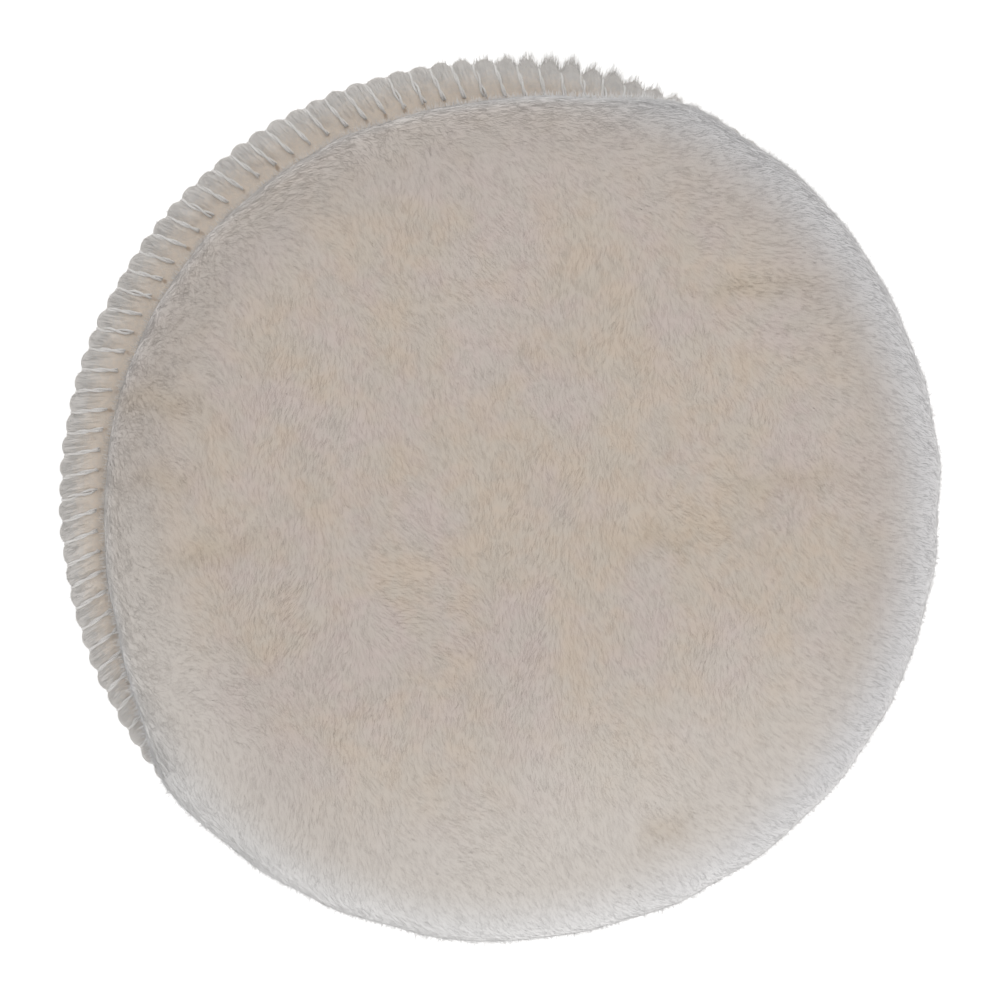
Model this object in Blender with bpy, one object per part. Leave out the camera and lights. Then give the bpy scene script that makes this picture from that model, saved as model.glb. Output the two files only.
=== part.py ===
"""Round wool polishing pad with a self-gripping back, sewn together round its rim.

The pad lies on its loop face with the wool up. From the bottom it is: grip loops, the backing cloth
that carries them, a thin foam disc, the ground cloth of the fleece, and the wool pile. One thread is
wound over the rim and through a ring of needle holes, and holds the two cloths together.
Metres, +Z up. The origin is the centre of the loop face.
"""

import math

import bmesh
import bpy
from mathutils import Vector

# Driving dimensions
PAD_DIAMETER = 0.125  # over the thread at the rim
STITCH_PITCH = 0.00314  # along the rim, from one needle hole to the next
SEAM_BITE = 0.0053  # from the rim in to the needle holes
THREAD_DIAMETER = 0.0005

GRIP_LOOP_HEIGHT = 0.0008
BACKING_CLOTH_THICKNESS = 0.0008
FOAM_THICKNESS = 0.003
GROUND_CLOTH_THICKNESS = 0.001
PILE_HEIGHT = 0.0105

RIM_LIFT = 0.0006  # how far the loop face rises off the table towards the seam
PINCH_WIDTH = 0.0048  # over which the layers close up before they reach the needle holes
SEAM_FLAT = 0.0008  # from the end of the pinch to the needle holes
RIM_STEP = 0.12  # share of the pitch by which the thread moves on as it climbs over the rim
FOAM_STOP = 0.0022  # the foam disc ends this far inside the end of the pinch
GRIP_LOOP_STOP = 0.0009  # the grip loops end this far inside the needle holes

PILE_ROOT_INSET = 0.0011  # from the needle holes in to the outermost wool
PILE_BLOOM = 0.0028  # how far the wool spreads past its outermost roots, all round
PILE_LEAN = 0.0028  # how far the brushed wool lies over to one side
PILE_LEAN_HEADING = math.radians(-30)  # that side, from +X towards +Y
PILE_SHOULDER = 0.009  # how far the rounded shoulder of the pile reaches in
PILE_CROWN = 0.0008  # how much higher the middle of the pile is than the top of the shoulder

CLEARANCE = 0.0003  # between neighbours
THREAD_CLEARANCE = 0.00015  # between the thread and the cloth it lies on
NEEDLE_HOLE_CLEARANCE = 0.0001  # between the thread and the walls of its hole

ROUND_SEGMENTS = 48
PINCH_STEPS = 2
SHOULDER_STEPS = 3
THREAD_SIDES = 3
NEEDLE_HOLE_SIDES = 3

# Sizes that follow
PAD_RADIUS = PAD_DIAMETER / 2
THREAD_RADIUS = THREAD_DIAMETER / 2
STITCH_COUNT = round(math.pi * PAD_DIAMETER / STITCH_PITCH)
STITCH_ANGLE = 2 * math.pi / STITCH_COUNT
NEEDLE_RADIUS = PAD_RADIUS - SEAM_BITE
SEAM_START = NEEDLE_RADIUS - SEAM_FLAT
PINCH_START = SEAM_START - PINCH_WIDTH
CLOTH_RADIUS = PAD_RADIUS - THREAD_DIAMETER - THREAD_CLEARANCE
FOAM_RADIUS = SEAM_START - FOAM_STOP
GRIP_LOOP_RADIUS = NEEDLE_RADIUS - GRIP_LOOP_STOP
PILE_ROOT_RADIUS = NEEDLE_RADIUS - PILE_ROOT_INSET

# Heights of the flat middle of each layer, as (underside, top)
GRIP_LOOPS = (0.0, GRIP_LOOP_HEIGHT)
BACKING = (GRIP_LOOPS[1] + CLEARANCE, GRIP_LOOPS[1] + CLEARANCE + BACKING_CLOTH_THICKNESS)
FOAM = (BACKING[1] + CLEARANCE, BACKING[1] + CLEARANCE + FOAM_THICKNESS)
GROUND = (FOAM[1] + CLEARANCE, FOAM[1] + CLEARANCE + GROUND_CLOTH_THICKNESS)

# Heights of each layer where the pinch ends; the foam would close up there, so it stops short
GRIP_LOOPS_SEAM = (GRIP_LOOPS[0] + RIM_LIFT, GRIP_LOOPS[1] + RIM_LIFT)
BACKING_SEAM = (BACKING[0] + RIM_LIFT, BACKING[1] + RIM_LIFT)
GROUND_SEAM = (BACKING_SEAM[1] + CLEARANCE, BACKING_SEAM[1] + CLEARANCE + GROUND_CLOTH_THICKNESS)
FOAM_SEAM = (BACKING_SEAM[1] + CLEARANCE, GROUND_SEAM[0] - CLEARANCE)

# Heights of the thread's centre line where it lies on each cloth
THREAD_OVER = GROUND_SEAM[1] + THREAD_CLEARANCE + THREAD_RADIUS
THREAD_UNDER = BACKING_SEAM[0] - THREAD_CLEARANCE - THREAD_RADIUS


def clear_scene():
    for obj in list(bpy.data.objects):
        bpy.data.objects.remove(obj)


def material(name, colour, roughness):
    made = bpy.data.materials.new(name)
    made.use_nodes = True
    shader = made.node_tree.nodes["Principled BSDF"]
    shader.inputs["Base Color"].default_value = (*colour, 1.0)
    shader.inputs["Roughness"].default_value = roughness
    shader.inputs["Metallic"].default_value = 0.0
    return made


def smoothstep(share):
    share = max(0.0, min(1.0, share))
    return share * share * (3 - 2 * share)


def pinched(radius, flat_height, seam_height):
    """The height at radius of a surface that runs from its flat middle into the seam."""
    return flat_height + (seam_height - flat_height) * smoothstep((radius - PINCH_START) / PINCH_WIDTH)


def pinch_radii(outer):
    """Radii at which a layer's surface bends between its flat middle and outer."""
    steps = [PINCH_START + PINCH_WIDTH * step / PINCH_STEPS for step in range(PINCH_STEPS + 1)]
    return [radius for radius in steps if radius < outer - CLEARANCE] + [outer]


def ring(mesh, radius, height, shift=(0.0, 0.0)):
    """One circle of vertices, its centre shifted sideways."""
    vertices = []
    for step in range(ROUND_SEGMENTS):
        turn = 2 * math.pi * step / ROUND_SEGMENTS
        spot = (shift[0] + radius * math.cos(turn), shift[1] + radius * math.sin(turn), height)
        vertices.append(mesh.verts.new(spot))
    return vertices


def add_object(name, mesh, finish):
    """Turns a bmesh into a named, smoothly shaded object with one material."""
    bmesh.ops.recalc_face_normals(mesh, faces=mesh.faces[:])
    data = bpy.data.meshes.new(name)
    mesh.to_mesh(data)
    mesh.free()
    data.shade_smooth()
    data.set_sharp_from_angle(angle=math.radians(40))
    if finish:
        data.materials.append(finish)
    obj = bpy.data.objects.new(name, data)
    bpy.context.scene.collection.objects.link(obj)
    return obj


def turned_solid(name, circles, finish):
    """A solid through circles of (radius, height, shift), from its underside out and over its top."""
    mesh = bmesh.new()
    rings = [ring(mesh, *circle) for circle in circles]
    mesh.faces.new(rings[0][::-1])
    mesh.faces.new(rings[-1])
    for low, high in zip(rings, rings[1:]):
        for step in range(ROUND_SEGMENTS):
            after = (step + 1) % ROUND_SEGMENTS
            mesh.faces.new((low[step], low[after], high[after], high[step]))
    return add_object(name, mesh, finish)


def layer(name, flat, seam, outer, finish):
    """A disc that is flat in the middle and follows the pinch out to its rounded edge."""
    radii = pinch_radii(outer)
    edge = (pinched(outer, flat[0], seam[0]) + pinched(outer, flat[1], seam[1])) / 2
    half = (pinched(outer, flat[1], seam[1]) - pinched(outer, flat[0], seam[0])) / 2
    radii[-1] = outer - half
    under = [(radius, pinched(radius, flat[0], seam[0])) for radius in radii]
    top = [(radius, pinched(radius, flat[1], seam[1])) for radius in reversed(radii)]
    return turned_solid(name, [*under, (outer, edge), *top], finish)


def pile(name, finish):
    """The wool: rooted on the ground cloth, spreading past its roots and lying over to one side."""
    heading = Vector((math.cos(PILE_LEAN_HEADING), math.sin(PILE_LEAN_HEADING)))
    radii = pinch_radii(PILE_ROOT_RADIUS)
    circles = [(radius, pinched(radius, GROUND[1], GROUND_SEAM[1]) + CLEARANCE) for radius in radii]
    spread_height = THREAD_OVER + THREAD_RADIUS + CLEARANCE
    top_height = GROUND[1] + CLEARANCE + PILE_HEIGHT - PILE_CROWN
    for step in range(2 * SHOULDER_STEPS + 1):
        turn = math.pi / 2 * step / SHOULDER_STEPS
        height = spread_height + (top_height - spread_height) * (1 - math.cos(turn)) / 2
        if step <= SHOULDER_STEPS:
            radius = PILE_ROOT_RADIUS + PILE_BLOOM * math.sin(turn)
        else:
            inner = PILE_ROOT_RADIUS - PILE_SHOULDER
            radius = inner + (PILE_SHOULDER + PILE_BLOOM) * math.sin(turn)
        lean = PILE_LEAN * smoothstep(step / SHOULDER_STEPS)
        circles.append((radius, height, heading * lean))
    circles.append((circles[-1][0] / 2, top_height + PILE_CROWN, heading * PILE_LEAN))
    return turned_solid(name, circles, finish)


def polar(radius, angle, height):
    return Vector((radius * math.cos(angle), radius * math.sin(angle), height))


def thread_turn(angle):
    """The corners of one stitch: down the hole, out under the rim and over it towards the next hole."""
    rim = PAD_RADIUS - THREAD_RADIUS
    return [
        polar(NEEDLE_RADIUS, angle, THREAD_OVER),
        polar(NEEDLE_RADIUS, angle, THREAD_UNDER),
        polar(rim, angle - STITCH_ANGLE * (1 - RIM_STEP) / 2, THREAD_UNDER),
        polar(rim, angle - STITCH_ANGLE * (1 + RIM_STEP) / 2, THREAD_OVER),
    ]


def seam_thread(name, finish):
    """The rim thread as one closed tube, with a mitred section at each of its corners."""
    points = [point for turn in range(STITCH_COUNT) for point in thread_turn(-turn * STITCH_ANGLE)]
    mesh = bmesh.new()
    rings = []
    for index, point in enumerate(points):
        arriving = (point - points[index - 1]).normalized()
        leaving = (points[(index + 1) % len(points)] - point).normalized()
        along = (arriving + leaving).normalized()
        outwards = (arriving - leaving).normalized()
        sideways = along.cross(outwards)
        mitre = 1 / along.dot(leaving)
        section = []
        for side in range(THREAD_SIDES):
            turn = 2 * math.pi * side / THREAD_SIDES
            spoke = mitre * math.cos(turn) * outwards + math.sin(turn) * sideways
            section.append(mesh.verts.new(point + THREAD_RADIUS * spoke))
        rings.append(section)
    for index, section in enumerate(rings):
        following = rings[(index + 1) % len(rings)]
        for side in range(THREAD_SIDES):
            after = (side + 1) % THREAD_SIDES
            mesh.faces.new((section[side], section[after], following[after], following[side]))
    return add_object(name, mesh, finish)


def needle_hole_cutter(name):
    """An upright pin for each needle hole, taller than the seam, with sides that clear the thread."""
    pin_radius = (THREAD_RADIUS + NEEDLE_HOLE_CLEARANCE) / math.cos(math.pi / NEEDLE_HOLE_SIDES)
    bottom_height, top_height = 0.0, GROUND[1] + THREAD_DIAMETER
    mesh = bmesh.new()
    for hole in range(STITCH_COUNT):
        angle = -hole * STITCH_ANGLE
        centre = polar(NEEDLE_RADIUS, angle, 0)
        spokes = [
            centre + polar(pin_radius, angle + 2 * math.pi * side / NEEDLE_HOLE_SIDES, 0)
            for side in range(NEEDLE_HOLE_SIDES)
        ]
        bottom = [mesh.verts.new((spoke.x, spoke.y, bottom_height)) for spoke in spokes]
        top = [mesh.verts.new((spoke.x, spoke.y, top_height)) for spoke in spokes]
        mesh.faces.new(bottom[::-1])
        mesh.faces.new(top)
        for side in range(NEEDLE_HOLE_SIDES):
            after = (side + 1) % NEEDLE_HOLE_SIDES
            mesh.faces.new((bottom[side], bottom[after], top[after], top[side]))
    cutter = add_object(name, mesh, None)
    cutter.hide_render = True
    cutter.display_type = "WIRE"
    return cutter


def pierce(cloth, cutter):
    holes = cloth.modifiers.new("needle_holes", "BOOLEAN")
    holes.operation = "DIFFERENCE"
    holes.solver = "EXACT"
    holes.object = cutter


def main():
    clear_scene()
    wool = material("cream_wool", (0.60, 0.52, 0.45), 0.95)
    knit = material("ground_knit", (0.64, 0.57, 0.50), 0.9)
    foam = material("open_foam", (0.80, 0.78, 0.70), 0.95)
    backing_knit = material("backing_knit", (0.74, 0.72, 0.69), 0.9)
    velour = material("grip_velour", (0.76, 0.74, 0.71), 0.85)
    thread = material("seam_thread", (0.74, 0.71, 0.68), 0.6)

    layer("grip_loops", GRIP_LOOPS, GRIP_LOOPS_SEAM, GRIP_LOOP_RADIUS, velour)
    backing = layer("backing_cloth", BACKING, BACKING_SEAM, CLOTH_RADIUS, backing_knit)
    layer("foam_interlayer", FOAM, FOAM_SEAM, FOAM_RADIUS, foam)
    ground = layer("fleece_ground_cloth", GROUND, GROUND_SEAM, CLOTH_RADIUS, knit)
    pile("wool_pile", wool)
    seam_thread("rim_thread", thread)
    cutter = needle_hole_cutter("needle_hole_cutter")
    for cloth in (backing, ground):
        pierce(cloth, cutter)


main()
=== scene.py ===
"""Looks of a round wool polishing pad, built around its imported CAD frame.

The wool is strands over a dense core, brushed over to one side. The rim is two pillowed cloth edges under
a whipped two-ply thread, and the back is a knitted cloth with grip loops. Metres, +Z up, wool side up.
"""

import logging
import math
from dataclasses import dataclass, replace
from enum import Enum
from typing import Callable, Self, Sequence

import bpy
import numpy as np
from mathutils.bvhtree import BVHTree
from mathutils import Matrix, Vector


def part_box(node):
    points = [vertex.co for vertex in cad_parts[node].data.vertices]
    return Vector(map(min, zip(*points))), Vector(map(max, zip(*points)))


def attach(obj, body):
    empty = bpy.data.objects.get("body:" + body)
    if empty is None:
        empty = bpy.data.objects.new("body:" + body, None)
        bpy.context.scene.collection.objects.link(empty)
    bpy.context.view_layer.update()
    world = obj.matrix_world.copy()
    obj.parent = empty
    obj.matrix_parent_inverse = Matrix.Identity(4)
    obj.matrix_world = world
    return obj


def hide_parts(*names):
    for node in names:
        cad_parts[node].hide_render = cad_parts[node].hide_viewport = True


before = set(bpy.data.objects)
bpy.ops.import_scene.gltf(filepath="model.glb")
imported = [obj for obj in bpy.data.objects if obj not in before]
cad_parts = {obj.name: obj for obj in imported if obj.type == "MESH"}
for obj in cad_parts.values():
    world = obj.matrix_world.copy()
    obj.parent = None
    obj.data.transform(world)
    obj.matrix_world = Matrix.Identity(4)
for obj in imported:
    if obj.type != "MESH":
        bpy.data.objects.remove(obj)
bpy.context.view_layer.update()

BODY = "root"
MM = 0.001
BAKE_MAP = "OFBake"
UP = (0.0, 0.0, 1.0)
Colour = tuple[float, float, float]
Direction = tuple[float, float, float]
Profile = list[tuple[float, float]]
Groups = dict[str, bpy.types.NodeTree]
Socket = bpy.types.NodeSocket

logging.basicConfig(level=logging.INFO, format="%(message)s")
LOG = logging.getLogger("polishing_pad")


# Shared arithmetic


def ease(share: np.ndarray | float) -> np.ndarray:
    """Takes a share from 0 to 1 smoothly, flat at both ends.

    Args:
        share: Values that may run past 0 and 1.

    Returns:
        The eased values, from 0 to 1.
    """
    held = np.clip(share, 0.0, 1.0)
    return held * held * (3 - 2 * held)


def unit(vectors: np.ndarray) -> np.ndarray:
    """Returns the vectors at length 1, along their last axis."""
    return vectors / np.maximum(np.linalg.norm(vectors, axis=-1, keepdims=True), 1e-12)


def polar(radius: np.ndarray, angle: np.ndarray, height: np.ndarray) -> np.ndarray:
    """Returns the points at these radii, angles and heights, as an array of (x, y, z)."""
    radius, angle, height = np.broadcast_arrays(radius, angle, height)
    return np.stack([radius * np.cos(angle), radius * np.sin(angle), height], axis=-1)


def apart(angle: np.ndarray, heading: float) -> np.ndarray:
    """Returns how far the angles are from a heading, from -pi to pi."""
    return np.angle(np.exp(1j * (angle - heading)))


@dataclass(frozen=True)
class SmoothField:
    """A gentle random field over the pad, made of plane waves of about one size."""

    size: float
    seed: int
    waves: int = 28
    shortest: float = 0.7
    longest: float = 1.5
    strength: float = 0.6

    def __call__(self, points: np.ndarray) -> np.ndarray:
        """Reads the field.

        Args:
            points: Places, of which x and y count.

        Returns:
            Values of about -1 to 1, one for each place.
        """
        chance = np.random.default_rng(self.seed)
        turn = chance.uniform(0, 2 * np.pi, self.waves)
        pitch = self.size * chance.uniform(self.shortest, self.longest, self.waves)
        start = chance.uniform(0, 2 * np.pi, self.waves)
        total = np.zeros(points.shape[:-1])
        for heading, length, offset in zip(turn, pitch, start):
            along = points[..., 0] * np.cos(heading) + points[..., 1] * np.sin(heading)
            total += np.sin(2 * np.pi * along / length + offset)
        return total / math.sqrt(self.waves / 2) * self.strength


# The pad's shared shape


class Side(Enum):
    """The two faces of the seam."""

    FACE = 1
    BACK = -1


@dataclass(frozen=True)
class PadShape:
    """Sizes that several pieces share. Heights and radii come from the CAD nodes."""

    rim_radius: float
    ground: tuple[float, float]
    backing: tuple[float, float]
    foam: tuple[float, float]
    foam_radius: float
    loops_radius: float
    pile_top: float
    seam_middle: float
    seam_bite: float = 5.3 * MM
    stitch_count: int = 125
    cloth_gap: float = 0.3 * MM
    layer_gap: float = 0.3 * MM
    pinch_width: float = 4.8 * MM
    seam_flat: float = 0.8 * MM
    lean_heading: float = math.radians(-30)
    bare_heading: float = math.radians(142)
    bare_limit: float = 0.20
    bare_width: float = 0.27
    bare_power: float = 1.2

    @classmethod
    def from_frame(cls) -> Self:
        """Reads the layers' boxes from the frame.

        Returns:
            The pad's shape.
        """
        low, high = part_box("rim_thread")
        ground_low, ground_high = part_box("fleece_ground_cloth")
        backing_low, backing_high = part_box("backing_cloth")
        foam_low, foam_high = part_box("foam_interlayer")
        return cls(
            rim_radius=high.x,
            ground=(foam_high.z + cls.layer_gap, ground_high.z),
            backing=(backing_low.z, foam_low.z - cls.layer_gap),
            foam=(foam_low.z, foam_high.z),
            foam_radius=foam_high.x,
            loops_radius=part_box("grip_loops")[1].x,
            pile_top=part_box("wool_pile")[1].z,
            seam_middle=(backing_high.z + ground_low.z) / 2,
        )

    @property
    def needle_radius(self) -> float:
        """Radius of the ring of needle holes."""
        return self.rim_radius - self.seam_bite

    @property
    def pitch_angle(self) -> float:
        """Angle from one stitch to the next."""
        return 2 * math.pi / self.stitch_count

    def bareness(self, angle: np.ndarray) -> np.ndarray:
        """Returns 1 where the brushed wool leaves the seam bare, falling to 0 round the other side."""
        facing = np.maximum(np.cos(angle - self.bare_heading) - self.bare_limit, 0)
        return 1 - np.exp(-((facing / self.bare_width) ** self.bare_power))

    def pinched(self, radius: np.ndarray, flat: float, seam: float) -> np.ndarray:
        """Height of a surface that runs from its flat middle into the seam.

        Args:
            radius: Distances from the pad's axis.
            flat: Height in the middle.
            seam: Height at the needle holes.

        Returns:
            The height at each radius.
        """
        start = self.needle_radius - self.seam_flat - self.pinch_width
        return flat + (seam - flat) * ease((radius - start) / self.pinch_width)


@dataclass(frozen=True)
class Seam:
    """The surface of the sewn rim: cloth that swells into a pillow between each two turns of thread."""

    shape: PadShape
    face_height: float = 0.95 * MM
    back_height: float = 0.8 * MM
    face_swell: float = 0.36 * MM
    back_swell: float = 0.4 * MM
    rim_draw: float = 0.62 * MM
    pressed: float = 0.3 * MM
    ragged: float = math.radians(80)
    ragged_width: float = math.radians(14)
    ragged_notch: float = 1.1
    fullness: tuple[float, float] = (0.78, 1.18)
    seed: int = 11

    def wildness(self, angle: np.ndarray) -> np.ndarray:
        """Returns 1 where the pillows are the most ragged, falling to 0 either side."""
        return np.exp(-((apart(angle, self.ragged) / self.ragged_width) ** 2))

    def share(self, turn: np.ndarray) -> np.ndarray:
        """Share of the seam's width covered at a turn of 0 (needle holes) to 1 (parting line)."""
        return np.sin(turn * np.pi / 2)

    def thread_angle(self, side: Side, stitch: np.ndarray, turn: np.ndarray) -> np.ndarray:
        """Angle at which the thread crosses the seam.

        Args:
            side: Face or back.
            stitch: The stitch's number, clockwise from +X.
            turn: 0 at the needle holes to 1 at the parting line.

        Returns:
            The angle about the pad's axis. A stitch's face run ends at the next needle hole.
        """
        over = 0.5 * self.share(turn)
        moved = 1 - over if side is Side.FACE else over
        return -(stitch + moved) * self.shape.pitch_angle

    def swell(self, side: Side, angle: np.ndarray, turn: np.ndarray) -> np.ndarray:
        """How full the pillow is: 0 under the thread, about 1 midway between two turns of it.

        Args:
            side: Face or back.
            angle: Angles about the pad's axis.
            turn: 0 at the needle holes to 1 at the parting line.

        Returns:
            The fullness, which differs a little from pillow to pillow.
        """
        count = -angle / self.shape.pitch_angle
        over = 0.5 * self.share(turn)
        place = count + over if side is Side.FACE else count - over
        between = place - np.floor(place)
        distance = 1 - np.abs(2 * between - 1)
        sharpness = 1.8 + (0.3 - 0.8 * self.wildness(angle)) * turn
        chance = np.random.default_rng(self.seed)
        fullness = chance.uniform(*self.fullness, self.shape.stitch_count)
        which = np.floor(place).astype(int) % self.shape.stitch_count
        return (1 - (1 - distance) ** sharpness) * fullness[which]

    def surface(
        self, side: Side, angle: np.ndarray, turn: np.ndarray, lift: float | np.ndarray = 0.0
    ) -> np.ndarray:
        """Points on the pillowed seam.

        Args:
            side: Face or back.
            angle: Angles about the pad's axis.
            turn: 0 at the needle holes to 1 at the parting line.
            lift: Distance off the surface.

        Returns:
            The points, as an array of (x, y, z).
        """
        face = side is Side.FACE
        full = self.swell(side, angle, turn)
        valley = self.face_height if face else self.back_height
        raised = self.face_swell if face else self.back_swell
        width = self.shape.seam_bite - self.rim_draw
        radius = self.shape.needle_radius + width * self.share(turn)
        notch = 1 + self.ragged_notch * self.wildness(angle)
        radius = radius + (1 - (1 - full) * notch) * self.rim_draw * self.share(turn) ** 2
        radius = radius - self.pressed * (1 - self.shape.bareness(angle)) * self.share(turn) ** 2
        height = (valley + raised * full * ease(turn / 0.35)) * np.cos(turn * np.pi / 2) ** 0.75
        out = np.sin(turn * np.pi / 2) ** 2
        radius = radius + lift * out
        height = height + lift * (1 - out) + self.shape.cloth_gap / 2
        return polar(radius, angle, self.shape.seam_middle + side.value * height)


# Modelling by hand


def only(obj: bpy.types.Object) -> bpy.types.Object:
    """Selects this object alone and makes it active.

    Args:
        obj: The object.

    Returns:
        The same object.
    """
    bpy.ops.object.select_all(action="DESELECT")
    obj.select_set(True)
    bpy.context.view_layer.objects.active = obj
    return obj


def coordinates(obj: bpy.types.Object) -> np.ndarray:
    """Returns the object's vertices as an array of (x, y, z)."""
    flat = np.empty(len(obj.data.vertices) * 3)
    obj.data.vertices.foreach_get("co", flat)
    return flat.reshape(-1, 3)


def reshape(obj: bpy.types.Object, move: Callable[[np.ndarray], np.ndarray]) -> bpy.types.Object:
    """Moves every vertex of an object.

    Args:
        obj: A mesh object at the origin.
        move: Takes the vertices and returns where they go.

    Returns:
        The same object.
    """
    obj.data.vertices.foreach_set("co", move(coordinates(obj)).astype(np.float32).ravel())
    obj.data.update()
    return obj


def mark(mesh: bpy.types.Mesh, name: str, values: np.ndarray) -> None:
    """Stores one number for each vertex, for the finish to read."""
    layer = mesh.attributes.new(name, "FLOAT", "POINT")
    layer.data.foreach_set("value", values.astype(np.float32))


def settle(mesh: bpy.types.Mesh) -> None:
    """Puts vertices and faces in an order of their own, since the operators' order changes between runs.

    Args:
        mesh: The mesh, which keeps its shape. Strands are scattered over it by the numbers of its faces.
    """
    points = np.array([vertex.co for vertex in mesh.vertices])
    order = np.lexsort(np.round(points / (0.0001 * MM)).T)
    rank = np.argsort(order)
    loops = [rank[list(face.vertices)].tolist() for face in mesh.polygons]
    starts = [loop.index(min(loop)) for loop in loops]
    faces = sorted(loop[start:] + loop[:start] for loop, start in zip(loops, starts))
    mesh.clear_geometry()
    mesh.from_pydata(points[order].tolist(), [], faces)
    mesh.update()


def turned(name: str, profile: Profile, segments: int) -> bpy.types.Object:
    """Turns a closed solid: a circle is drawn out ring by ring, and both ends are closed.

    Args:
        name: The object's name.
        profile: (radius, height) of each ring, from the underside's middle out and round to the top's.
        segments: Vertices in each ring.

    Returns:
        The solid, with its faces pointing out.
    """
    bpy.ops.object.select_all(action="DESELECT")
    radius, height = profile[0]
    bpy.ops.mesh.primitive_circle_add(vertices=segments, radius=radius, location=(0, 0, height))
    obj = bpy.context.object
    obj.name = obj.data.name = name
    bpy.ops.object.transform_apply(location=True, rotation=True, scale=True)
    bpy.ops.object.mode_set(mode="EDIT")
    bpy.ops.mesh.select_all(action="SELECT")
    for next_radius, next_height in profile[1:]:
        rise = {"value": (0, 0, next_height - height)}
        bpy.ops.mesh.extrude_edges_move(TRANSFORM_OT_translate=rise)
        grow = next_radius / radius
        bpy.ops.transform.resize(value=(grow, grow, 1), center_override=(0, 0, next_height))
        radius, height = next_radius, next_height
    bpy.ops.mesh.select_all(action="DESELECT")
    bpy.ops.mesh.select_non_manifold()
    bpy.ops.mesh.edge_face_add()
    bpy.ops.mesh.select_all(action="DESELECT")
    bpy.ops.mesh.select_non_manifold()
    if any(edge.select for edge in obj.data.edges):
        bpy.ops.mesh.fill_holes(sides=0)
    bpy.ops.mesh.select_all(action="SELECT")
    bpy.ops.mesh.normals_make_consistent(inside=False)
    bpy.ops.object.mode_set(mode="OBJECT")
    settle(obj.data)
    bpy.ops.object.shade_smooth()
    return obj


def layer(
    name: str,
    shape: PadShape,
    radii: Sequence[float],
    rim: float,
    low: tuple[float, float],
    high: tuple[float, float],
    segments: int,
) -> bpy.types.Object:
    """Makes a thin closed layer that is flat in the middle and follows the cloths up to the seam.

    Args:
        name: The object's name.
        shape: The pad's sizes.
        radii: The radius of each ring, going out.
        rim: The radius of the layer's edge.
        low: Height of the underside in the middle and at the seam.
        high: Height of the top in the middle and at the seam.
        segments: Vertices in each ring.

    Returns:
        The layer.
    """
    under = [(radius, float(shape.pinched(radius, *low))) for radius in radii]
    above = [(radius, float(shape.pinched(radius, *high))) for radius in reversed(radii)]
    edge = [(rim, (under[-1][1] + above[0][1]) / 2)]
    return turned(name, [*under, *edge, *above], segments)


def place(obj: bpy.types.Object, material: bpy.types.Material, slot: str, *nodes: str) -> None:
    """Dresses a finished piece, ties it to the pad and hides the CAD nodes that it replaces.

    Args:
        obj: The piece.
        material: Its finish.
        slot: The record's slot that the finish belongs to; not used.
        nodes: The CAD nodes that it replaces.
    """
    obj.data.materials.clear()
    obj.data.materials.append(material)
    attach(obj, BODY)
    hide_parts(*nodes)
    LOG.info("%s: %d faces", obj.name, len(obj.data.polygons))


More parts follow.
